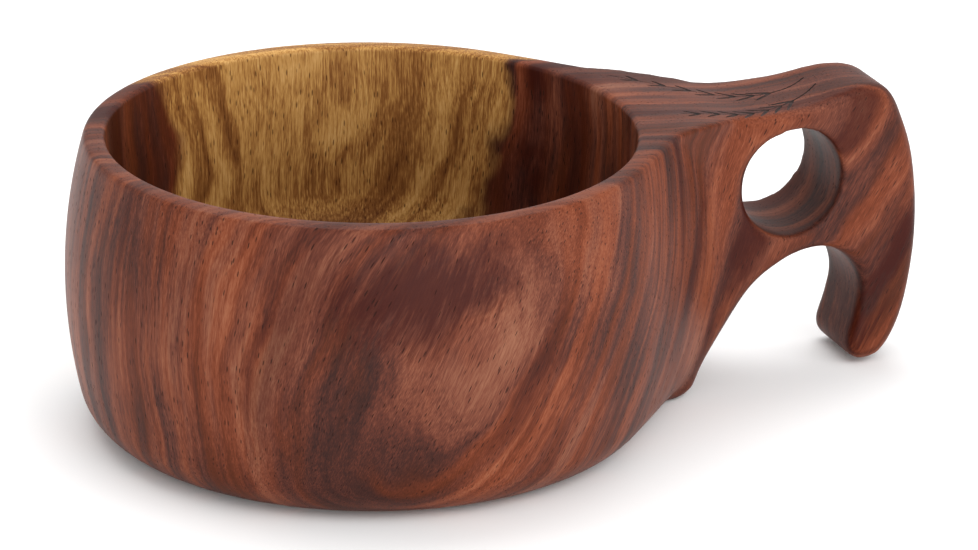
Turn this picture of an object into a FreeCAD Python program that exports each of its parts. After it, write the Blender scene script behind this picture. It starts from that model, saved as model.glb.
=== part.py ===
import FreeCAD, Part
import math
import os

# Kuksa: a drinking cup carved from one block of acacia, bowl and handle together.
# Millimetres. +Z up. The cup stands on z = 0, the bowl's axis is the Z axis, the handle
# points along +X, and y = 0 is its middle plane.

# Bowl
rim_height = 57.5          # table to rim
mouth_radius = 50.0        # inside, at the rim
rim_wall = 4.0             # thickness of the rim
belly_radius = 57.9        # widest outside radius
belly_height = 31.0        # level of the belly
foot_radius = 53.2         # where the wall's curve would meet the table without its rounding
foot_rounding = 10.0       # between wall and foot
cavity_draft = 1.0         # how much the inside narrows from the rim to the floor's round
floor_thickness = 8.0
floor_rounding = 22.0      # large round between inside wall and floor
rim_rounding = 1.0         # softened edges of the mouth

# Handle, seen from above
flare_angle = 42.0         # where the handle's flare leaves the bowl, from the middle plane
flare_end = 11.6           # the flare's belly ends this far from the middle plane, in the handle
side_angle = 7.75          # each side of the handle leans in by this much towards its end
grip_thickness = 22.4      # at the finger hole
throat_start = 18.5        # how far along the flare the throat leaves it
throat_angle = 28.0        # the throat's wall, from the middle plane
throat_length = 20.5
throat_lean = 14.0         # how much that wall leans in towards its foot

# Handle, seen from the side
hole_radius = 10.8         # finger hole
hole_reach = 82.9          # bowl axis to the finger hole's axis
hole_drop = 16.8           # rim to the finger hole's axis
bridge = 3.8               # wood between the finger hole and the notch
dip_reach = 74.5           # lowest place of the handle's top
dip_depth = 2.0            # how far it lies below the rim
hump_reach = 97.0          # highest place of the handle's top
hump_rise = 0.5            # how far it lies above the rim
notch_radius = 10.8        # notch under the finger hole, open downwards
notch_reach = 88.4         # bowl axis to the notch's crown
web_rounding = 18.5        # between the notch's crown and the web's slope
web_angle = 55.0           # the web's slope, from the table
web_foot_rounding = 6.5    # where the slope meets the foot
hook_width = 12.5          # from the notch's side to the handle's outer end
hook_inset = 2.3           # how far the tip leans in from the notch's side
hook_clearance = 0.8       # hook's tip above the table
edge_rounding = 2.0        # softened edges of the handle
hole_edge_rounding = 0.8   # softened edges of the finger hole

# Two burnt sprigs on the handle's top, each as foot, bend and tip of its stem, seen from above
sprigs = [
    [(93.0, -1.5), (70.0, 1.0), (58.0, 12.0)],
    [(93.0, 4.5), (77.0, -7.5), (60.5, -7.0)],
]
leaf_pairs = 7
leaf_length = 5.2
leaf_angle = 26.0          # between a leaf and its stem
first_leaf = 0.28          # share of the stem that is bare
groove_width = 0.6
groove_depth = 0.4

spare = 8.0                # how far a cutting tool runs past what it cuts
seam = 0.001               # faces of bowl and handle nearer than this are taken as one
V = FreeCAD.Vector


def arc(first, middle, last):
    return Part.Arc(first, middle, last).toShape()


def line(first, last):
    return Part.LineSegment(first, last).toShape()


def face(edges):
    return Part.Face(Part.Wire(edges))


def turned(section):
    """A section in the XZ plane turned once round the Z axis."""
    return Part.Solid(section.revolve(V(0, 0, 0), V(0, 0, 1), 360))


def wall_circle():
    """The wall's outside curve in the XZ plane, through foot, belly and rim."""
    return Part.Circle(V(foot_radius, 0, 0), V(belly_radius, 0, belly_height),
                       V(mouth_radius + rim_wall, 0, rim_height))


def wall_radius(z):
    circle = wall_circle()
    return circle.Center.x + math.sqrt(circle.Radius ** 2 - (z - circle.Center.z) ** 2)


def bowl_section():
    """Half of the bowl's outside, from its axis outwards."""
    circle = wall_circle()
    # the foot's round touches the table from above and the wall's circle from inside
    foot_x = circle.Center.x + math.sqrt((circle.Radius - foot_rounding) ** 2
                                         - (foot_rounding - circle.Center.z) ** 2)
    centre = V(foot_x, 0, foot_rounding)
    out = (centre - circle.Center).normalize()
    wall_start = circle.Center + out * circle.Radius
    foot_middle = centre + (out + V(0, 0, -1)).normalize() * foot_rounding
    wall_end = rim_height - rim_rounding
    middle = (wall_start.z + wall_end) / 2
    rim_start = V(wall_radius(wall_end), 0, wall_end)
    rim_end = V(rim_start.x - rim_rounding, 0, rim_height)
    rim_middle = V(rim_end.x, 0, wall_end) + V(1, 0, 1).normalize() * rim_rounding
    return face([
        line(V(0, 0, 0), V(foot_x, 0, 0)),
        arc(V(foot_x, 0, 0), foot_middle, wall_start),
        arc(wall_start, V(wall_radius(middle), 0, middle), rim_start),
        arc(rim_start, rim_middle, rim_end),
        line(rim_end, V(0, 0, rim_height)),
        line(V(0, 0, rim_height), V(0, 0, 0)),
    ])


def flare(side):
    """The bowl's section run straight on from the bowl into the handle, on one side."""
    angle = math.radians(flare_angle)
    length = (belly_radius * math.sin(angle) - flare_end) / math.cos(angle)
    section = bowl_section()
    section.rotate(V(0, 0, 0), V(0, 0, 1), side * flare_angle)
    return section.extrude(V(math.sin(angle), -side * math.cos(angle), 0) * length)


def throat(side):
    """Fills the upper part of the corner between a flare and the handle's side."""
    angle = math.radians(flare_angle)
    rim = mouth_radius + rim_wall
    foot = rim - rim_height * math.tan(math.radians(throat_lean))
    corners = [V(0, 0, 0), V(foot, 0, 0), V(rim, 0, rim_height), V(0, 0, rim_height)]
    section = bowl_section().common(Part.Face(Part.makePolygon(corners + corners[:1])))
    section.rotate(V(0, 0, 0), V(0, 0, 1), side * flare_angle)
    section.translate(V(math.sin(angle), -side * math.cos(angle), 0) * throat_start)
    turn = math.radians(throat_angle)
    return section.Faces[0].extrude(V(math.cos(turn), -side * math.sin(turn), 0) * throat_length)


def cavity():
    """What is hollowed out: slightly narrowing wall, large round, flat floor, softened mouth."""
    round_top = floor_thickness + floor_rounding
    low_radius = mouth_radius - cavity_draft
    lip_low = rim_height - rim_rounding
    lip = mouth_radius + rim_rounding
    diagonal = math.sqrt(0.5)
    floor_end = V(low_radius - floor_rounding, 0, floor_thickness)
    round_middle = V(floor_end.x + floor_rounding * diagonal, 0,
                     round_top - floor_rounding * diagonal)
    lip_middle = V(lip - rim_rounding * diagonal, 0, lip_low + rim_rounding * diagonal)
    return turned(face([
        line(V(0, 0, floor_thickness), floor_end),
        arc(floor_end, round_middle, V(low_radius, 0, round_top)),
        line(V(low_radius, 0, round_top), V(mouth_radius, 0, lip_low)),
        arc(V(mouth_radius, 0, lip_low), lip_middle, V(lip, 0, rim_height)),
        line(V(lip, 0, rim_height), V(lip, 0, rim_height + spare)),
        line(V(lip, 0, rim_height + spare), V(0, 0, rim_height + spare)),
        line(V(0, 0, rim_height + spare), V(0, 0, floor_thickness)),
    ]))


def half_thickness(x):
    return grip_thickness / 2 - (x - hole_reach) * math.tan(math.radians(side_angle))


def handle_block():
    """Tapered block that the handle is carved from, as tall as needed, starting in the bowl."""
    near = mouth_radius / 2
    far = notch_reach + notch_radius + hook_width + spare
    corners = [V(near, half_thickness(near), 0), V(far, half_thickness(far), 0),
               V(far, -half_thickness(far), 0), V(near, -half_thickness(near), 0)]
    outline = Part.makePolygon(corners + corners[:1])
    return Part.Face(outline).extrude(V(0, 0, rim_height + spare))


def upper_outline(notch_side, end):
    """One smooth curve: rim, handle top, hook's outside and tip, up to the notch's side."""
    rim_end = mouth_radius + rim_wall
    dip = rim_height - dip_depth
    hump = rim_height + hump_rise
    shoulder = end - hump_reach
    tip = notch_side.x - hook_inset
    width = end - tip
    inside = notch_side.z - hook_clearance
    outside = hump * 0.48 - hook_clearance
    curve = Part.BSplineCurve()
    curve.interpolate(
        Points=[
            V(rim_end, 0, rim_height),
            V((rim_end + dip_reach) / 2, 0, rim_height - dip_depth * 0.42),
            V(dip_reach, 0, dip),
            V((dip_reach + hump_reach) / 2, 0, dip + (hump - dip) * 0.27),
            V(hump_reach, 0, hump),
            V(hump_reach + shoulder * 0.46, 0, hump * 0.973),
            V(hump_reach + shoulder * 0.74, 0, hump * 0.85),
            V(hump_reach + shoulder * 0.92, 0, hump * 0.70),
            V(end, 0, hump * 0.48),
            V(end - width * 0.07, 0, hook_clearance + outside * 0.57),
            V(end - width * 0.235, 0, hook_clearance + outside * 0.24),
            V(end - width * 0.50, 0, hook_clearance + outside * 0.035),
            V(tip + width * 0.23, 0, hook_clearance),
            V(tip + width * 0.055, 0, hook_clearance + inside * 0.085),
            V(tip, 0, hook_clearance + inside * 0.26),
            V(tip + hook_inset * 0.6, 0, hook_clearance + inside * 0.63),
            notch_side,
        ],
        InitialTangent=V(1, 0, 0),
        FinalTangent=V(0, 0, 1),
    )
    return curve.toShape()


def side_section(drop=0):
    """The whole cup seen from the side, moved down by drop."""
    crown = rim_height - hole_drop - hole_radius - bridge
    back = -belly_radius - spare
    slope = math.radians(web_angle)

    def on_slope(centre, radius, turn):
        return centre + V(-math.sin(turn), 0, math.cos(turn)) * radius

    web_centre = V(notch_reach, 0, crown - web_rounding)
    web_top = on_slope(web_centre, web_rounding, slope)
    corner = web_top.x - web_top.z / math.tan(slope)
    foot = V(corner - web_foot_rounding * math.tan(slope / 2), 0, 0)
    foot_centre = foot + V(0, 0, web_foot_rounding)
    notch_side = V(notch_reach + notch_radius, 0, crown - notch_radius)
    end = notch_side.x + hook_width
    notch_middle = V(notch_reach, 0, notch_side.z) + V(1, 0, 1).normalize() * notch_radius
    section = face([
        line(V(back, 0, rim_height), V(mouth_radius + rim_wall, 0, rim_height)),
        upper_outline(notch_side, end),
        arc(notch_side, notch_middle, V(notch_reach, 0, crown)),
        arc(V(notch_reach, 0, crown), on_slope(web_centre, web_rounding, slope / 2), web_top),
        line(web_top, on_slope(foot_centre, -web_foot_rounding, slope)),
        arc(on_slope(foot_centre, -web_foot_rounding, slope),
            on_slope(foot_centre, -web_foot_rounding, slope / 2), foot),
        line(foot, V(back, 0, 0)),
        line(V(back, 0, 0), V(back, 0, rim_height)),
    ])
    section.translate(V(0, 0, -drop))
    return section


def across(section):
    """A side view made into a solid that is wider than the cup."""
    half = belly_radius + spare
    section.translate(V(0, -half, 0))
    return section.extrude(V(0, 2 * half, 0))


def finger_hole():
    half = belly_radius
    return Part.makeCylinder(hole_radius, 2 * half,
                             V(hole_reach, -half, rim_height - hole_drop), V(0, 1, 0))


def edges_on_sides(shape, hole):
    """Edges of the handle's two flat sides: the finger hole's, or the outline's."""
    found = []
    for edge in shape.Edges:
        middle = edge.valueAt((edge.FirstParameter + edge.LastParameter) / 2)
        on_side = abs(abs(middle.y) - half_thickness(middle.x)) < 0.01
        round_hole = math.hypot(middle.x - hole_reach,
                                middle.z - rim_height + hole_drop) < hole_radius + 0.01
        if on_side and round_hole == hole and edge.BoundBox.XMax > mouth_radius:
            found.append(edge)
    return found


def handle():
    block = handle_block().common(across(side_section())).cut(finger_hole()).Solids[0]
    block = block.makeFillet(edge_rounding, edges_on_sides(block, False))
    return block.makeFillet(hole_edge_rounding, edges_on_sides(block, True))


def stroke(first, last):
    """An upright blade over the handle's top, from first to last seen from above."""
    along = last - first
    blade = Part.makeBox(along.Length, groove_width, 2 * spare,
                         V(0, -groove_width / 2, rim_height - spare))
    blade.rotate(V(0, 0, 0), V(0, 0, 1), math.degrees(math.atan2(along.y, along.x)))
    blade.translate(first)
    return blade


def sprig(foot, bend, tip):
    """A stem on a curve through its three points, with leaves in pairs that point to its tip."""
    foot, bend, tip = V(*foot, 0), V(*bend, 0), V(*tip, 0)

    def stem(share):
        return foot * (1 - share) ** 2 + bend * (2 * share * (1 - share)) + tip * share ** 2

    blades = []
    before = foot
    for pair in range(leaf_pairs):
        share = first_leaf + (1 - first_leaf) * pair / leaf_pairs
        joint = stem(share)
        ahead = math.atan2(*(stem(share + 0.01) - joint)[1::-1])
        blades.append(stroke(before, joint))
        for side in (-1, 1):
            turn = ahead + side * math.radians(leaf_angle)
            blades.append(stroke(joint, joint + V(math.cos(turn), math.sin(turn), 0) * leaf_length))
        before = joint
    blades.append(stroke(before, tip))
    return blades


def grooves():
    blades = []
    for points in sprigs:
        blades += sprig(*points)
    return blades[0].fuse(blades[1:]).cut(across(side_section(groove_depth)))


def cup():
    bowl = turned(bowl_section()).fuse([flare(1), flare(-1), throat(1), throat(-1)])
    bowl = bowl.common(across(side_section()))
    return bowl.fuse([handle()], seam).cut(cavity()).cut(grooves())


def beyond(x_start, x_end):
    wide = 4 * belly_radius
    return Part.makeBox(x_end - x_start, wide, wide, V(x_start, -wide / 2, -spare))


os.makedirs("parts", exist_ok=True)
whole = cup()
far = 4 * belly_radius
nodes = {
    "bowl": whole.common(beyond(-far, belly_radius)),
    "handle": whole.common(beyond(belly_radius, far)),
}
for name, shape in nodes.items():
    solid = shape.removeSplitter()
    print(name, len(solid.Solids), "solid, valid", solid.isValid(), round(solid.Volume), "mm3")
    solid.exportStep(f"parts/{name}.step")
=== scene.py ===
import math

import bmesh
import bpy
from mathutils import Matrix, Vector
from mathutils.geometry import interpolate_bezier


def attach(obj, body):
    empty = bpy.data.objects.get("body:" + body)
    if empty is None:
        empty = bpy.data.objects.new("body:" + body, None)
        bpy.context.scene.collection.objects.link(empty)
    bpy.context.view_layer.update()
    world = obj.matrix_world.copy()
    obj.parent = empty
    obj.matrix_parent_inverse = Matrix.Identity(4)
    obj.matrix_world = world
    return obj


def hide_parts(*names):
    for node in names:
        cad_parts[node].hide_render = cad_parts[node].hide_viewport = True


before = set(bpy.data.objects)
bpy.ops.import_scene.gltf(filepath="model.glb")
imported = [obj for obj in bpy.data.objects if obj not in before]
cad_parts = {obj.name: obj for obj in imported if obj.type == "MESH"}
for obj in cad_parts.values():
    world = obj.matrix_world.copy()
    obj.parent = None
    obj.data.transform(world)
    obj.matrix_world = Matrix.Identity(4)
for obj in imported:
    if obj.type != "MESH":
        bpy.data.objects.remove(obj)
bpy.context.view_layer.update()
mm = 0.001


def hexColor(code):
    # sRGB hex to the linear colour that shaders use
    channels = [int(code[i:i + 2], 16) / 255 for i in (0, 2, 4)]
    linear = [c / 12.92 if c <= 0.04045 else ((c + 0.055) / 1.055) ** 2.4 for c in channels]
    return (*linear, 1.0)


def addNode(tree, kind, inputs, out=0, **settings):
    # adds one shader node; an input is a value or another node's output
    node = tree.nodes.new("ShaderNode" + kind)
    for name, value in settings.items():
        setattr(node, name, value)
    for name, value in inputs.items():
        if isinstance(value, bpy.types.NodeSocket):
            tree.links.new(value, node.inputs[name])
        else:
            node.inputs[name].default_value = value
    return node.outputs[out]


bowl = {                      # millimetres
    "rimHeight": 57.5,
    "mouthRadius": 50.0,      # inside, at the rim
    "rimWall": 4.0,
    "bellyRadius": 57.9,
    "bellyHeight": 31.0,
    "footRadius": 53.2,       # where the wall would meet the table without its round
    "footRound": 10.0,
    "cavityDraft": 1.0,
    "floorThickness": 8.0,
    "floorRound": 22.0,
    "lipRound": 1.1,          # softened edges of the mouth
}

handle = {
    "flareAngle": 42.0,       # where the flare leaves the bowl, from the middle plane
    "flareEnd": 11.6,         # how far from the middle plane the flare's belly ends
    "sideAngle": 7.75,        # how much each side leans in towards the end
    "gripThickness": 22.4,    # at the finger hole
    "throatStart": 18.5,      # how far along the flare the throat leaves it
    "throatAngle": 28.0,      # the throat's wall, from the middle plane
    "throatLength": 20.5,
    "throatLean": 14.0,       # how much that wall leans in towards its foot
    "holeRadius": 10.8,
    "holeReach": 82.9,        # bowl's axis to the hole's axis
    "holeDrop": 16.8,         # rim to the hole's axis
    "bridge": 3.8,            # wood between hole and notch
    "dipReach": 74.5,
    "dipDepth": 2.0,
    "humpReach": 97.0,
    "humpRise": 0.5,
    "notchRadius": 10.8,
    "notchReach": 88.4,
    "webRound": 18.5,
    "webAngle": 55.0,
    "webFootRound": 6.5,
    "hookWidth": 12.5,
    "hookInset": 2.3,
    "hookClearance": 0.8,
    "edgeRound": 2.5,
    "meshSize": 0.55,         # of the softened outside
    "facesKept": 0.41,        # share of the faces left at the end
    "softness": 4,            # how often the whole outside is smoothed
    "throatSoftness": 250,    # the same for the blend between flare and handle
    "cornerSoftness": 10,     # the same for the handle's top edge beside the rim
    "holeSoftness": 14,       # the same for the finger hole's edges
}


def arcPoints(centre, radius, start, end, steps):
    # points on an arc in the side view, angles in degrees from +X towards +Z
    angles = [math.radians(start + (end - start) * i / steps) for i in range(steps + 1)]
    return [(centre[0] + radius * math.cos(a), centre[1] + radius * math.sin(a)) for a in angles]


def circleThrough(first, middle, last):
    (ax, az), (bx, bz), (cx, cz) = first, middle, last
    d = 2 * (ax * (bz - cz) + bx * (cz - az) + cx * (az - bz))
    a2, b2, c2 = ax * ax + az * az, bx * bx + bz * bz, cx * cx + cz * cz
    x = (a2 * (bz - cz) + b2 * (cz - az) + c2 * (az - bz)) / d
    z = (a2 * (cx - bx) + b2 * (ax - cx) + c2 * (bx - ax)) / d
    return (x, z), math.hypot(ax - x, az - z)


def bowlProfile():
    # half of the bowl's outside, from the middle of its foot to the middle of its mouth
    b = bowl
    centre, radius = circleThrough((b["footRadius"], 0), (b["bellyRadius"], b["bellyHeight"]),
                                   (b["mouthRadius"] + b["rimWall"], b["rimHeight"]))
    footX = centre[0] + math.sqrt((radius - b["footRound"]) ** 2 - (b["footRound"] - centre[1]) ** 2)
    touch = math.degrees(math.atan2(b["footRound"] - centre[1], footX - centre[0]))
    wallEnd = b["rimHeight"] - b["lipRound"]
    top = math.degrees(math.asin((wallEnd - centre[1]) / radius))
    points = [(0, 0), (footX * 0.5, 0)]
    points += arcPoints((footX, b["footRound"]), b["footRound"], -90, touch, 14)
    points += arcPoints(centre, radius, touch, top, 40)[1:]
    rimX = centre[0] + radius * math.cos(math.radians(top)) - b["lipRound"]
    points += arcPoints((rimX, wallEnd), b["lipRound"], top, 90, 6)[1:]
    return points + [(0, b["rimHeight"])]


def cavityProfile():
    # what is hollowed out, from the middle of the floor up past the mouth
    b = bowl
    lowX = b["mouthRadius"] - b["cavityDraft"]
    roundTop = b["floorThickness"] + b["floorRound"]
    lipLow = b["rimHeight"] - b["lipRound"]
    points = [(0, b["floorThickness"])]
    points += [((lowX - b["floorRound"]) * i / 8, b["floorThickness"]) for i in range(1, 8)]
    points += arcPoints((lowX - b["floorRound"], roundTop), b["floorRound"], -90, 0, 28)
    points += [(lowX + b["cavityDraft"] * i / 16, roundTop + (lipLow - roundTop) * i / 16)
               for i in range(1, 17)]
    points += arcPoints((b["mouthRadius"] + b["lipRound"], lipLow), b["lipRound"], 180, 110, 6)[1:]
    x, z = points[-1]
    return points + [(x + 14, z + 6), (0, z + 6)]   # leaves the wood at a clear angle


def topCurve():
    # handle's top, hook's outside, tip and inside: one smooth curve through these places
    h, rim = handle, bowl["rimHeight"]
    dip, hump = rim - h["dipDepth"], rim + h["humpRise"]
    notchX = h["notchReach"] + h["notchRadius"]
    notchZ = crownHeight() - h["notchRadius"]
    end = notchX + h["hookWidth"]
    tip = notchX - h["hookInset"]
    low = h["hookClearance"]
    shoulder, width = end - h["humpReach"], end - tip
    inside, outside = notchZ - low, hump * 0.48 - low
    rimEnd = bowl["mouthRadius"] + bowl["rimWall"]
    places = [
        (rimEnd, rim),
        ((rimEnd + h["dipReach"]) / 2, rim - h["dipDepth"] * 0.42),
        (h["dipReach"], dip),
        ((h["dipReach"] + h["humpReach"]) / 2, dip + (hump - dip) * 0.27),
        (h["humpReach"], hump),
        (h["humpReach"] + shoulder * 0.46, hump * 0.973),
        (h["humpReach"] + shoulder * 0.74, hump * 0.85),
        (h["humpReach"] + shoulder * 0.92, hump * 0.70),
        (end, hump * 0.48),
        (end - width * 0.07, low + outside * 0.57),
        (end - width * 0.235, low + outside * 0.24),
        (end - width * 0.50, low + outside * 0.035),
        (tip + width * 0.23, low),
        (tip + width * 0.055, low + inside * 0.085),
        (tip, low + inside * 0.26),
        (tip + h["hookInset"] * 0.6, low + inside * 0.63),
        (notchX, notchZ),
    ]
    return smoothLine(places, (1, 0), (0, 1), 10)


def smoothLine(places, startWay, endWay, steps):
    # a soft line through places, each with a tangent along its two neighbours
    ways = [Vector(startWay).normalized()]
    for before, after in zip(places, places[2:]):
        ways.append((Vector(after) - Vector(before)).normalized())
    ways.append(Vector(endWay).normalized())
    points = []
    for i in range(len(places) - 1):
        a, b = Vector(places[i]), Vector(places[i + 1])
        reach = (b - a).length / 3
        part = interpolate_bezier(a.to_3d(), (a + ways[i] * reach).to_3d(),
                                  (b - ways[i + 1] * reach).to_3d(), b.to_3d(), steps + 1)
        points += [(p.x, p.y) for p in part[:-1]]
    return points + [tuple(places[-1])]


def crownHeight():
    return bowl["rimHeight"] - handle["holeDrop"] - handle["holeRadius"] - handle["bridge"]


def webCurve():
    # from the notch's crown down the web's slope to the foot
    h = handle
    crown = crownHeight()
    slope = math.radians(h["webAngle"])
    webCentre = (h["notchReach"], crown - h["webRound"])
    webTop = (webCentre[0] - h["webRound"] * math.sin(slope),
              webCentre[1] + h["webRound"] * math.cos(slope))
    corner = webTop[0] - webTop[1] / math.tan(slope)
    footX = corner - h["webFootRound"] * math.tan(slope / 2)
    return (arcPoints(webCentre, h["webRound"], 90, 90 + h["webAngle"], 16)
            + arcPoints((footX, h["webFootRound"]), h["webFootRound"], -90 + h["webAngle"], -90, 12))


def sideOutline(back):
    # the handle seen from the side, closed behind at x = back
    h = handle
    notch = arcPoints((h["notchReach"], crownHeight() - h["notchRadius"]), h["notchRadius"], 0, 90, 24)
    return [(back, bowl["rimHeight"])] + topCurve() + notch[1:] + webCurve()[1:] + [(back, 0)]


def halfThickness(x):
    narrowing = math.tan(math.radians(handle["sideAngle"]))
    return handle["gripThickness"] / 2 - (x - handle["holeReach"]) * narrowing


def topHeight(x):
    # height of the handle's top at a distance from the bowl's axis
    line = [(bowl["mouthRadius"], bowl["rimHeight"])] + topCurve()
    for (ax, az), (bx, bz) in zip(line, line[1:]):
        if ax <= x < bx:
            return az + (bz - az) * (x - ax) / (bx - ax)
    return bowl["rimHeight"]


def newPiece(name, verts, faces):
    mesh = bpy.data.meshes.new(name)
    mesh.from_pydata([Vector(v) * mm for v in verts], [], faces)
    bm = bmesh.new()
    bm.from_mesh(mesh)
    bmesh.ops.remove_doubles(bm, verts=bm.verts, dist=1e-6)
    bmesh.ops.recalc_face_normals(bm, faces=bm.faces)
    bm.to_mesh(mesh)
    bm.free()
    piece = bpy.data.objects.new(name, mesh)
    bpy.context.scene.collection.objects.link(piece)
    return piece


def turned(name, profile, segments):
    # a profile turned once round the bowl's axis
    verts, faces, rows = [], [], len(profile)
    for s in range(segments):
        turn = 2 * math.pi * s / segments
        verts += [(r * math.cos(turn), r * math.sin(turn), z) for r, z in profile]
    for s in range(segments):
        here, there = s * rows, (s + 1) % segments * rows
        faces += [(here + i, there + i, there + i + 1, here + i + 1) for i in range(rows - 1)]
    return newPiece(name, verts, faces)


def prism(name, outline, near, far):
    # an outline in the side view given width: near and far say where its sides are at each x
    count = len(outline)
    verts = [(x, near(x), z) for x, z in outline] + [(x, far(x), z) for x, z in outline]
    faces = [tuple(range(count)), tuple(range(2 * count - 1, count - 1, -1))]
    faces += [(i, i + count, (i + 1) % count + count, (i + 1) % count) for i in range(count)]
    return newPiece(name, verts, faces)


def sweptHalf(name, profile, side, shift, way, length):
    # the bowl's half profile at the flare's angle, moved along the flare and run straight on
    turn = math.radians(handle["flareAngle"])
    out = Vector((math.cos(turn), side * math.sin(turn), 0))
    start = Vector((math.sin(turn), -side * math.cos(turn), 0)) * shift
    way = math.radians(way)
    along = Vector((math.cos(way), -side * math.sin(way), 0)) * length
    count = len(profile)
    near = [start + out * r + Vector((0, 0, z)) for r, z in profile]
    faces = [tuple(range(count)), tuple(range(2 * count - 1, count - 1, -1))]
    faces += [(i, i + count, (i + 1) % count + count, (i + 1) % count) for i in range(count)]
    return newPiece(name, near + [v + along for v in near], faces)


def flare(side):
    turn = math.radians(handle["flareAngle"])
    length = (bowl["bellyRadius"] * math.sin(turn) - handle["flareEnd"]) / math.cos(turn)
    return sweptHalf("flare", bowlProfile(), side, 0, 90 - handle["flareAngle"], length)


def throat(side):
    # fills the upper part of the corner between a flare and the handle's side
    rim, lean = bowl["mouthRadius"] + bowl["rimWall"], math.tan(math.radians(handle["throatLean"]))
    profile = [(min(r, rim - (bowl["rimHeight"] - z) * lean), z) for r, z in bowlProfile()]
    return sweptHalf("throat", profile, side, handle["throatStart"], handle["throatAngle"],
                     handle["throatLength"])


def apply(piece, kind, **settings):
    bpy.context.view_layer.objects.active = piece
    step = piece.modifiers.new(kind.lower(), kind)
    for name, value in settings.items():
        setattr(step, name, value)
    bpy.ops.object.modifier_apply(modifier=step.name)


def carve(piece, tool, operation, solver="EXACT"):
    apply(piece, "BOOLEAN", object=tool, operation=operation, solver=solver)
    bpy.data.objects.remove(tool)


def roundSides(piece, width):
    # rounds the edges between the flat sides and the outline
    bm = bmesh.new()
    bm.from_mesh(piece.data)
    edges = [e for e in bm.edges if len(e.link_faces) == 2
             and sum(len(f.verts) > 4 for f in e.link_faces) == 1
             and e.calc_face_angle() > math.radians(40)]
    bmesh.ops.bevel(bm, geom=edges, offset=width * mm, segments=5, profile=0.5,
                    affect="EDGES", clamp_overlap=True)
    bm.to_mesh(piece.data)
    bm.free()


def sideCut(name, outline):
    return prism(name, outline, lambda x: -80, lambda x: 80)


print("carving the cup")
cup = turned("cup", bowlProfile(), 256)
for side in (1, -1):
    carve(cup, flare(side), "UNION")
    carve(cup, throat(side), "UNION")
above, beside = bowl["rimHeight"] + 8, handle["notchReach"]
over = [p for p in topCurve() if p[0] < beside and p[1] > bowl["bellyHeight"]]
over += [(beside, above), (bowl["mouthRadius"] + bowl["rimWall"], above)]
under = webCurve() + [(webCurve()[-1][0], -8), (beside, -8)]
for outline in (over, under):        # the flares end under the handle's top and over its web
    carve(cup, sideCut("waste", outline), "DIFFERENCE")
grip = prism("grip", sideOutline(25), lambda x: -halfThickness(x), halfThickness)
roundSides(grip, handle["edgeRound"])
carve(cup, grip, "UNION")
holeAt = (handle["holeReach"], bowl["rimHeight"] - handle["holeDrop"])

print("softening it")
apply(cup, "REMESH", mode="VOXEL", voxel_size=handle["meshSize"] * mm, adaptivity=0)
carve(cup, sideCut("hole", arcPoints(holeAt, handle["holeRadius"], 0, 360, 120)[:-1]), "DIFFERENCE",
      "MANIFOLD")
apply(cup, "REMESH", mode="VOXEL", voxel_size=handle["meshSize"] * mm, adaptivity=0)


def weigh(piece, name, share):
    # a vertex group whose weight at each place is share(x, y, z), in millimetres
    group = piece.vertex_groups.new(name=name)
    for v in piece.data.vertices:
        weight = share(*(v.co / mm))
        if weight > 0.01:
            group.add([v.index], weight, "REPLACE")
    return name


def fade(value, low, high):
    share = min(max((value - low) / (high - low), 0), 1)
    return share * share * (3 - 2 * share)


def nearThroat(x, y, z):
    # where flares and throats run into the handle's sides, but not at its top or foot
    along = fade(x, 44, 54) * (1 - fade(x, 70, 80))
    return along * fade(abs(y), 8, 10.5) * fade(z, 2, 7) * (1 - fade(z, 50, 55.5))


def nearTopCorner(x, y, z):
    # the handle's top edge where the throat meets the bowl's rim
    return fade(x, 44, 50) * (1 - fade(x, 66, 74)) * fade(abs(y), 8, 10) * fade(z, 50, 54) * 0.8


def nearHole(x, y, z):
    off = abs(math.hypot(x - holeAt[0], z - holeAt[1]) - handle["holeRadius"])
    return (1 - fade(off, 0.8, 2.2)) * fade(abs(y), 4, 6)


apply(cup, "SMOOTH", factor=0.5, iterations=handle["softness"])
for name, share, times in (("throat", nearThroat, handle["throatSoftness"]),
                           ("corner", nearTopCorner, handle["cornerSoftness"]),
                           ("hole", nearHole, handle["holeSoftness"])):
    apply(cup, "SMOOTH", factor=0.5, iterations=times, vertex_group=weigh(cup, name, share))
cup.vertex_groups.clear()
carve(cup, turned("cavity", cavityProfile(), 320), "DIFFERENCE", "MANIFOLD")
apply(cup, "DECIMATE", decimate_type="COLLAPSE", ratio=handle["facesKept"])


sprigs = {                    # two burnt sprigs on the handle's top, as foot, bend and tip of each stem
    "stems": [[(90.5, 3.0), (77.0, -7.5), (54.5, 15.5)],
              [(91.0, -1.5), (80.0, -12.0), (59.0, -9.5)]],
    "leafPairs": 7,
    "leafLength": 5.2,
    "leafAngle": 26.0,
    "firstLeaf": 0.28,        # share of the stem that is bare
    "leafTaper": 0.35,        # how much shorter the leaves at the tip are
    "stemSteps": 24,
    "bareSteps": 9,           # the stem is thicker up to here
    "stemWidths": (0.65, 0.3),      # bare and leafy stem, as shares of a leaf's line
    "burnt": ["1c0f0b", "3a2019"],
    "meshSize": 0.13,
    "lineWidth": 0.75,
    "lineDepth": 0.4,
}


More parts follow.
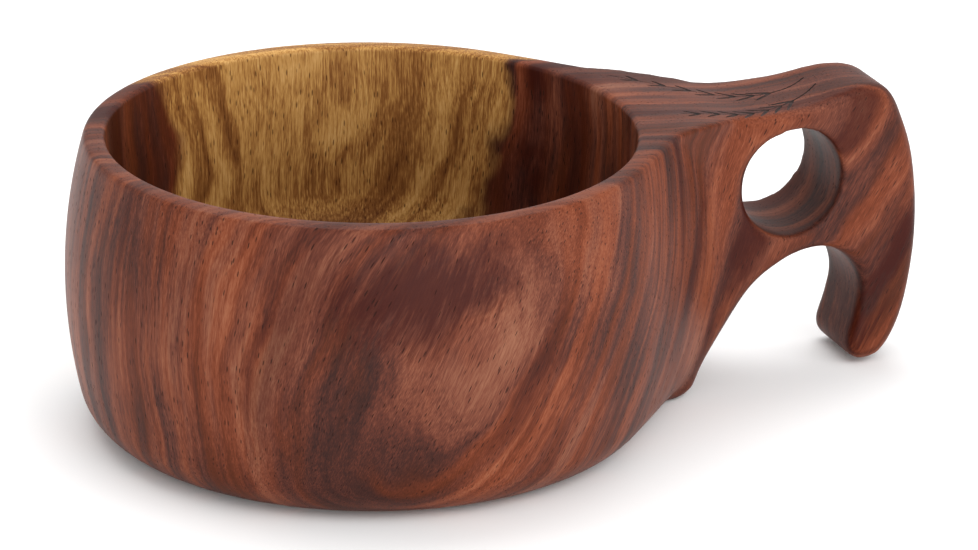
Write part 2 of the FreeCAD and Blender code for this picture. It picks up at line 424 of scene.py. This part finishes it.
def burntLine(first, last, wide):
    # a pointed blade from first to last, standing in the handle's top by the line's depth
    along = (last - first).normalized()
    across = Vector((-along.y, along.x)) * wide / 2
    rows = []
    for share, width in ((0, 0.25), (0.15, 0.8), (0.5, 1), (0.85, 0.7), (1, 0.12)):
        middle = first.lerp(last, share)
        top = topHeight(middle.x)
        sides = [(middle + across * width * s, top + 1.5) for s in (1, -1)]
        sides += [(middle - across * width, top - 0.1), (middle, top - sprigs["lineDepth"]),
                  (middle + across * width, top - 0.1)]
        rows.append([(p.x, p.y, z) for p, z in sides])
    verts = [v for row in rows for v in row]
    faces = [tuple(range(5)), tuple(range(len(verts) - 1, len(verts) - 6, -1))]
    for r in range(len(rows) - 1):
        faces += [(r * 5 + i, r * 5 + 5 + i, r * 5 + 5 + (i + 1) % 5, r * 5 + (i + 1) % 5) for i in range(5)]
    return verts, faces


def sprigLines(foot, bend, tip):
    foot, bend, tip = Vector(foot), Vector(bend), Vector(tip)

    def stem(t):
        return foot * (1 - t) ** 2 + bend * (2 * t * (1 - t)) + tip * t ** 2

    lines, steps = [], sprigs["stemSteps"]
    for i in range(steps):
        wide = sprigs["stemWidths"][0 if i < sprigs["bareSteps"] else 1]
        lines.append((stem(i / steps), stem((i + 1.15) / steps), wide))
    for pair in range(sprigs["leafPairs"]):
        t = sprigs["firstLeaf"] + (1 - sprigs["firstLeaf"]) * pair / sprigs["leafPairs"]
        ahead = stem(t + 0.01) - stem(t)
        length = sprigs["leafLength"] * (1 - sprigs["leafTaper"] * pair / sprigs["leafPairs"])
        for side in (-1, 1):
            turn = math.atan2(ahead.y, ahead.x) + side * math.radians(sprigs["leafAngle"])
            lines.append((stem(t), stem(t) + Vector((math.cos(turn), math.sin(turn))) * length, 1))
    return lines


print("burning the sprigs")
verts, faces = [], []
for points in sprigs["stems"]:
    for first, last, share in sprigLines(*points):
        v, f = burntLine(first, last, sprigs["lineWidth"] * share)
        faces += [tuple(i + len(verts) for i in face) for face in f]
        verts += v
burntTool = newPiece("sprig_lines", verts, faces)
apply(burntTool, "REMESH", mode="VOXEL", voxel_size=sprigs["meshSize"] * mm, adaptivity=0)

acacia = {                    # plantation acacia: brown heartwood, golden sapwood, dark streaks
    "heart": ["1e0a05", "3b190f", "592a1b", "76402c", "935f46"],   # darkest to palest
    "heartStops": [0.0, 0.22, 0.42, 0.64, 0.95],
    "sap": ["5a3217", "86572b", "b58649", "d8ae70"],
    "sapStops": [0.34, 0.46, 0.56, 0.72],
    "grey": "4b3431",         # cool and warm tints between the rings
    "warm": "8e4524",
    "black": "360d06",        # near-black rings and patches
    "pores": ["23100b", "41200d"],      # in heartwood and in sapwood
    "ringLean": 8.0,          # growth rings are nearly flat and turned this much from the X axis
    "pith": 150.0,            # millimetres from the bowl's axis to the middle of the trunk
    "sapwoodAt": 40.5,        # how far behind the axis the heartwood ends
    "blackRings": [           # place behind the axis, half width, strength at the left and the right
        (27.5, 4.4, 1.0, 0.7), (36.0, 3.6, 0.25, 1.0), (6.0, 1.5, 0.45, 0.85),
        (15.5, 1.0, 0.6, 0.35), (-14.0, 1.3, 0.3, 0.6)],
    "patches": [              # middle, half size (along X, Y and Z) and strength
        ((-18, -57, 46), (19, 14, 11), 1.0), ((-36, -47, 30), (4, 14, 30), 0.5),
        ((14, -57, 26), (5, 14, 14), 0.45), ((111, -8, 24), (4.5, 14, 15), 1.0),
        ((105, -8, 7), (13, 14, 11), 1.0), ((57, -19, 30), (2.4, 14, 28), 0.6),
        ((73, -12, 28), (1.6, 14, 22), 0.5)],
    "poreSize": (0.66, 0.66, 3.4),      # spacing across the grain, twice, and length along it
    "gloss": 0.1,             # oil sinks in and leaves little gloss
}


def oiledAcacia():
    # sanded and oiled acacia: the oil deepens the brown and leaves a soft sheen over open pores
    wood = bpy.data.materials.new("acacia sanded and oiled")
    wood.use_nodes = True
    t = wood.node_tree
    shader = t.nodes["Principled BSDF"]

    # place in millimetres, and how far the grain wanders there
    place = addNode(t, "VectorMath", {0: addNode(t, "TexCoord", {}, "Object"), "Scale": 1000.0},
                    operation="SCALE")
    x, y, z = addNode(t, "SeparateXYZ", {0: place}).node.outputs
    wander = addNode(t, "TexNoise", {"Vector": place, "Scale": 1 / 38, "Detail": 2.0}, "Color")
    red, green = addNode(t, "SeparateColor", {0: wander}).node.outputs[:2]
    wanderX = addNode(t, "Math", {0: red, 1: 9.0, 2: -4.5}, operation="MULTIPLY_ADD")
    wanderY = addNode(t, "Math", {0: green, 1: 9.0, 2: -4.5}, operation="MULTIPLY_ADD")
    slow = addNode(t, "VectorMath", {0: place, 1: (7, 7, 20)}, operation="DIVIDE")
    ripple = addNode(t, "TexNoise", {"Vector": slow, "Scale": 1.0, "Detail": 3.0})
    ripple = addNode(t, "Math", {0: ripple, 1: 1.8, 2: -0.9}, operation="MULTIPLY_ADD")

    # the grain leans over towards the handle's end and at the front of the bowl
    onHandle = addNode(t, "MapRange", {"Value": x, "From Min": 30.0, "From Max": 105.0},
                       interpolation_type="SMOOTHSTEP")
    near = addNode(t, "MapRange", {"Value": y, "From Min": -45.0, "From Max": -8.0, "To Min": 1.0,
                                   "To Max": 0.0}, interpolation_type="SMOOTHSTEP")
    inFront = addNode(t, "MapRange", {"Value": x, "From Min": -52.0, "From Max": -12.0, "To Max": near},
                      interpolation_type="SMOOTHSTEP")
    up = addNode(t, "Math", {0: z, 1: 30.0}, operation="SUBTRACT")
    lean = addNode(t, "Math", {0: onHandle, 1: 0.62}, operation="MULTIPLY")
    lean = addNode(t, "Math", {0: inFront, 1: 0.5, 2: lean}, operation="MULTIPLY_ADD")
    lean = addNode(t, "Math", {0: up, 1: lean}, operation="MULTIPLY")
    grainX = addNode(t, "Math", {0: wanderX, 1: 0.6, 2: x}, operation="MULTIPLY_ADD")
    grainX = addNode(t, "Math", {0: grainX, 1: lean}, operation="SUBTRACT")
    grainY = addNode(t, "Math", {0: wanderY, 1: 0.35, 2: y}, operation="MULTIPLY_ADD")
    grain = addNode(t, "CombineXYZ", {0: grainX, 1: grainY, 2: z})

    # growth rings: how far out from the pith, which lies in front of the cup, and how far along them
    turn = math.radians(acacia["ringLean"])
    along = addNode(t, "VectorMath", {0: grain, 1: (math.cos(turn), -math.sin(turn), 0)}, "Value",
                    operation="DOT_PRODUCT")
    out = addNode(t, "VectorMath", {0: grain, 1: (math.sin(turn), math.cos(turn), 0)}, "Value",
                  operation="DOT_PRODUCT")
    aside = addNode(t, "Math", {0: along}, operation="ABSOLUTE")
    aside = addNode(t, "Math", {0: aside, 1: 50.0}, operation="MINIMUM")
    aside = addNode(t, "Math", {0: aside, 1: aside}, operation="MULTIPLY")
    rise = addNode(t, "Math", {0: up, 1: onHandle}, operation="MULTIPLY")
    swirl = addNode(t, "Math", {0: x, 1: up}, operation="MULTIPLY")
    swirl = addNode(t, "Math", {0: swirl, 1: inFront}, operation="MULTIPLY")
    for bend, share in ((aside, 0.5 / acacia["pith"]), (wanderY, 0.55), (ripple, 1.0), (rise, -0.16),
                        (swirl, -0.008)):
        out = addNode(t, "Math", {0: bend, 1: share, 2: out}, operation="MULTIPLY_ADD")
    rings = addNode(t, "CombineXYZ", {0: out, 1: along, 2: z})

    # patterns with their sizes in millimetres, detail and roughness
    pattern = {}
    for name, way, size, detail, roughness in (
            ("broad", rings, (6.5, 60, 75), 3.0, 0.62),       # colour bands of the rings
            ("narrow", rings, (1.15, 45, 40), 2.0, 0.55),
            ("warmth", rings, (3.4, 50, 45), 3.0, 0.5),
            ("crowd", rings, (5, 30, 30), 2.0, 0.5),          # where pores crowd together
            ("fibre", grain, (0.32, 0.32, 9), 2.0, 0.5),      # real fibres are too fine to show, so
            ("fleck", grain, (0.17, 0.17, 1.7), 2.0, 0.5),    # these two stand for bundles of them
            ("streak", grain, (0.9, 0.9, 7), 3.0, 0.6),       # edges of the dark patches
            ("cloud", place, (24, 24, 24), 3.0, 0.5),
            ("gaps", place, (16, 16, 16), 3.0, 0.5),          # where black rings fade
            ("edge", place, (12, 12, 12), 2.0, 0.5)):         # the sapwood's wavy border
        scaled = addNode(t, "VectorMath", {0: way, 1: size}, operation="DIVIDE")
        pattern[name] = addNode(t, "TexNoise", {"Vector": scaled, "Scale": 1.0, "Detail": detail,
                                                "Roughness": roughness})

    # tones of heartwood and sapwood as weighted sums of the patterns, turned into colours
    tone, sapTone = -0.93, 0.0
    for name, share in (("fibre", 0.56), ("fleck", 0.64), ("cloud", 0.8)):
        tone = addNode(t, "Math", {0: pattern[name], 1: share, 2: tone}, operation="MULTIPLY_ADD")
    for name, low, high, share in (("broad", 0.34, 0.66, 0.40), ("narrow", 0.30, 0.70, 0.24)):
        band = addNode(t, "MapRange", {"Value": pattern[name], "From Min": low, "From Max": high,
                                       "To Max": share}, interpolation_type="SMOOTHSTEP")
        tone = addNode(t, "Math", {0: tone, 1: band}, operation="ADD")
    for name, share in (("narrow", 0.45), ("fibre", 0.30), ("fleck", 0.25)):
        sapTone = addNode(t, "Math", {0: pattern[name], 1: share, 2: sapTone}, operation="MULTIPLY_ADD")
    woods = []
    for value, stops, codes in ((tone, acacia["heartStops"], acacia["heart"]),
                                (sapTone, acacia["sapStops"], acacia["sap"])):
        woods.append(addNode(t, "ValToRGB", {0: value}))
        elements = woods[-1].node.color_ramp.elements
        while len(elements) < len(stops):
            elements.new(0.5)
        for element, stop, code in zip(elements, stops, codes):
            element.position, element.color = stop, hexColor(code)
    heart, sap = woods
    for low, high, code in ((0.26, 0.0, acacia["grey"]), (0.0, 0.24, acacia["warm"])):
        share = addNode(t, "MapRange", {"Value": pattern["warmth"], "From Min": 0.38, "From Max": 0.66,
                                        "To Min": low, "To Max": high}, interpolation_type="SMOOTHSTEP")
        heart = addNode(t, "Mix", {0: share, 6: heart, 7: hexColor(code)}, 2, data_type="RGBA")

    # near-black rings, each strong at one side and weaker at the other
    dark = 0.0
    for at, thick, left, right in acacia["blackRings"]:
        away = addNode(t, "Math", {0: out, 1: at}, operation="SUBTRACT")
        away = addNode(t, "Math", {0: away}, operation="ABSOLUTE")
        strength = addNode(t, "MapRange", {"Value": x, "From Min": -45.0, "From Max": 45.0,
                                           "To Min": left, "To Max": right})
        band = addNode(t, "MapRange", {"Value": away, "From Min": thick * 0.35, "From Max": thick,
                                       "To Min": strength, "To Max": 0.0},
                       interpolation_type="SMOOTHSTEP")
        dark = addNode(t, "Math", {0: dark, 1: band}, operation="MAXIMUM")
    gaps = addNode(t, "MapRange", {"Value": pattern["gaps"], "From Min": 0.30, "From Max": 0.55},
                   interpolation_type="SMOOTHSTEP")
    dark = addNode(t, "Math", {0: dark, 1: gaps}, operation="MULTIPLY")

    # darker heart patches where the wall cuts a ring at a flat angle, streaked along the grain
    spotX = addNode(t, "Math", {0: wanderX, 1: 0.8, 2: grainX}, operation="MULTIPLY_ADD")
    spotZ = addNode(t, "Math", {0: ripple, 1: 3.0, 2: z}, operation="MULTIPLY_ADD")
    spotAt = addNode(t, "CombineXYZ", {0: spotX, 1: y, 2: spotZ})
    fray = addNode(t, "Math", {0: pattern["streak"], 1: 1.8, 2: -0.9}, operation="MULTIPLY_ADD")
    for middle, size, strength in acacia["patches"]:
        away = addNode(t, "VectorMath", {0: spotAt, 1: middle}, operation="SUBTRACT")
        away = addNode(t, "VectorMath", {0: away, 1: size}, operation="DIVIDE")
        away = addNode(t, "VectorMath", {0: away}, "Value", operation="LENGTH")
        away = addNode(t, "Math", {0: away, 1: fray}, operation="ADD")
        spot = addNode(t, "MapRange", {"Value": away, "From Min": 0.25, "From Max": 1.3,
                                       "To Min": strength, "To Max": 0.0},
                       interpolation_type="SMOOTHSTEP")
        dark = addNode(t, "Math", {0: dark, 1: spot}, operation="MAXIMUM")

    border = addNode(t, "Math", {0: pattern["edge"], 1: 5.0, 2: out}, operation="MULTIPLY_ADD")
    sapShare = addNode(t, "MapRange", {"Value": border, "From Min": acacia["sapwoodAt"] + 1.8,
                                       "From Max": acacia["sapwoodAt"] + 3.7},
                       interpolation_type="SMOOTHSTEP")
    colour = addNode(t, "Mix", {0: sapShare, 6: heart, 7: sap}, 2, data_type="RGBA")
    dark = addNode(t, "Math", {0: dark, 1: 0.88}, operation="MULTIPLY")
    colour = addNode(t, "Mix", {0: dark, 6: colour, 7: hexColor(acacia["black"])}, 2, data_type="RGBA")

    # open pores, cut lengthwise on the walls and across on top
    cell = addNode(t, "VectorMath", {0: grain, 1: acacia["poreSize"]}, operation="DIVIDE")
    cells = addNode(t, "TexVoronoi", {"Vector": cell, "Scale": 1.0}).node
    chance = addNode(t, "SeparateColor", {0: cells.outputs["Color"]}, "Red")
    chance = addNode(t, "Math", {0: pattern["crowd"], 1: 1.6, 2: chance}, operation="MULTIPLY_ADD")
    there = addNode(t, "MapRange", {"Value": chance, "From Min": 1.0, "From Max": 1.3},
                   interpolation_type="SMOOTHSTEP")
    pore = addNode(t, "MapRange", {"Value": cells.outputs["Distance"], "From Min": 0.12, "From Max": 0.25,
                                   "To Min": there, "To Max": 0.0}, interpolation_type="SMOOTHSTEP")
    poreColours = [hexColor(code) for code in acacia["pores"]]
    poreColour = addNode(t, "Mix", {0: sapShare, 6: poreColours[0], 7: poreColours[1]}, 2,
                         data_type="RGBA")
    share = addNode(t, "Math", {0: pore, 1: 0.8}, operation="MULTIPLY")
    colour = addNode(t, "Mix", {0: share, 6: colour, 7: poreColour}, 2, data_type="RGBA")

    height = addNode(t, "Math", {0: pattern["fibre"], 1: 0.35}, operation="MULTIPLY")
    height = addNode(t, "Math", {0: height, 1: pore}, operation="SUBTRACT")
    bump = addNode(t, "Bump", {"Strength": 0.35, "Distance": 0.00012, "Height": height})
    matt = addNode(t, "Math", {0: pattern["fibre"], 1: 0.16, 2: 0.33}, operation="MULTIPLY_ADD")
    matt = addNode(t, "Math", {0: pore, 1: 0.25, 2: matt}, operation="MULTIPLY_ADD")
    t.links.new(colour, shader.inputs["Base Color"])
    t.links.new(matt, shader.inputs["Roughness"])
    t.links.new(bump, shader.inputs["Normal"])
    shader.inputs["IOR"].default_value = 1.48
    shader.inputs["Specular IOR Level"].default_value = acacia["gloss"]
    return wood


def burntWood():
    # lines burnt in with a hot tip: matt charcoal brown, uneven
    char = bpy.data.materials.new("acacia burnt brown")
    char.use_nodes = True
    t = char.node_tree
    shader = t.nodes["Principled BSDF"]
    uneven = addNode(t, "TexNoise", {"Vector": addNode(t, "TexCoord", {}, "Object"), "Scale": 900.0,
                                     "Detail": 2.0})
    share = addNode(t, "MapRange", {"Value": uneven, "From Min": 0.35, "From Max": 0.65})
    colour = addNode(t, "Mix", {0: share, 6: hexColor(sprigs["burnt"][0]),
                                7: hexColor(sprigs["burnt"][1])}, 2, data_type="RGBA")
    t.links.new(colour, shader.inputs["Base Color"])
    shader.inputs["Roughness"].default_value = 0.75
    return char


print("finishing the wood")
cup.data.materials.clear()
cup.data.materials.append(oiledAcacia())
cup.data.materials.append(burntWood())
burntTool.data.materials.append(cup.data.materials[1])
apply(cup, "BOOLEAN", object=burntTool, operation="DIFFERENCE", solver="MANIFOLD",
      material_mode="TRANSFER")
bpy.data.objects.remove(burntTool)
cup.data.shade_smooth()
cup.data.set_sharp_from_angle(angle=math.radians(38))   # the burnt lines keep their crisp edges
print("cup has", len(cup.data.polygons), "faces", [m.name for m in cup.data.materials])

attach(cup, "root")
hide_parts("bowl", "handle")

studio = {                    # millimetres, with lamp sizes in metres and powers in watts
    "floorSize": 6,           # metres
    "floor": "fafafa",
    "camera": (-334.4, -904.1, 391.1),
    "cameraTarget": (20.84, -8.26, 28.72),
    "cameraRoll": 0.0131,     # radians
    "lens": 199.7,
    "lampTarget": (20, 0, 30),
    "lamps": [("key", (520, -1000, 1050), (1.2, 0.9), 8),
              ("top", (60, 500, 1250), (1.4, 0.8), 10),
              ("low", (60, -1200, 160), (1.2, 0.4), 7)],
    "worldStrength": 0.88,
}


def aim(item, place, target, roll=0.0):
    # puts a camera or lamp at a place and points it at a target
    item.location = Vector(place) * mm
    way = (Vector(target) * mm - item.location).to_track_quat("-Z", "Y").to_matrix().to_4x4()
    item.rotation_euler = (way @ Matrix.Rotation(roll, 4, "Z")).to_euler()
    bpy.context.scene.collection.objects.link(item)


print("setting the stage")
bpy.ops.mesh.primitive_plane_add(size=studio["floorSize"], location=(0, 0, 0))
floor = bpy.context.object
floor.name = "floor"
paper = bpy.data.materials.new("matt white paper")      # plain bright ground with soft shadows
paper.use_nodes = True
paper.node_tree.nodes["Principled BSDF"].inputs["Base Color"].default_value = hexColor(studio["floor"])
paper.node_tree.nodes["Principled BSDF"].inputs["Roughness"].default_value = 0.9
floor.data.materials.append(paper)

camera = bpy.data.objects.new("camera", bpy.data.cameras.new("camera"))
camera.data.lens = studio["lens"]
camera.data.clip_start = 0.05
aim(camera, studio["camera"], studio["cameraTarget"], studio["cameraRoll"])
bpy.context.scene.camera = camera
for name, place, size, power in studio["lamps"]:
    lamp = bpy.data.lights.new(name, "AREA")
    lamp.shape = "RECTANGLE"
    lamp.size, lamp.size_y = size
    lamp.energy = power
    aim(bpy.data.objects.new(name, lamp), place, studio["lampTarget"])
world = bpy.data.worlds.new("studio")
world.use_nodes = True
world.node_tree.nodes["Background"].inputs["Color"].default_value = (1, 1, 1, 1)
world.node_tree.nodes["Background"].inputs["Strength"].default_value = studio["worldStrength"]
bpy.context.scene.world = world
bpy.context.scene.view_settings.view_transform = "Standard"
